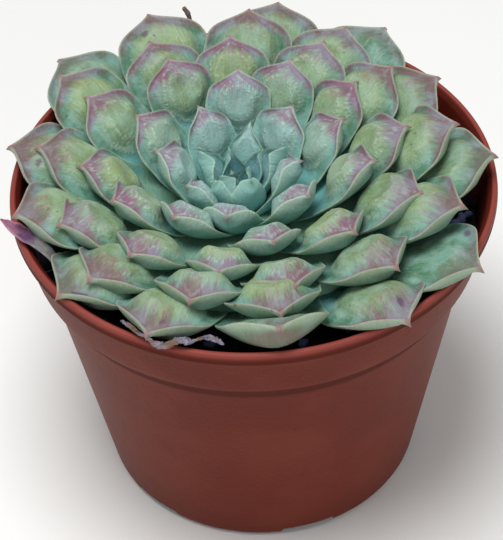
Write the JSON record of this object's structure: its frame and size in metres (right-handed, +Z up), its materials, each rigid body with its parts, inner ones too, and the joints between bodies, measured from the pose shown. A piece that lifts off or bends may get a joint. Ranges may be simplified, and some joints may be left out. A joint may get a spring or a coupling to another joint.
{
  "type": "potted echeveria",
  "caption": "Cup-shaped rosette of fleshy, pointed blue-green leaves blushed with mauve, standing in dark soil in a round tapered terracotta-brown plastic nursery pot.",
  "frame": {"origin": "centre of the pot's flat underside, on the pot's axis", "axes": "+Z up along the pot's axis, -Y towards the viewer's side of the picture, +X to the viewer's right"},
  "size_m": [0.1219, 0.1205, 0.1012],
  "materials": {
    "pot": "semi-matte injection-moulded plastic",
    "soil": "damp crumbly potting mix",
    "leaf": "waxy, with a pale bloom",
    "withered": "shrivelled leaf skin",
    "dry": "papery and dull",
    "stalk": "dry and woody"
  },
  "bodies": {
    "root": {"pot": "pot", "soil": "soil", "rosette": "leaf", "withered_leaf": "withered", "dry_leaf": "dry", "flower_stalk": "stalk"}
  },
  "joints": []
}
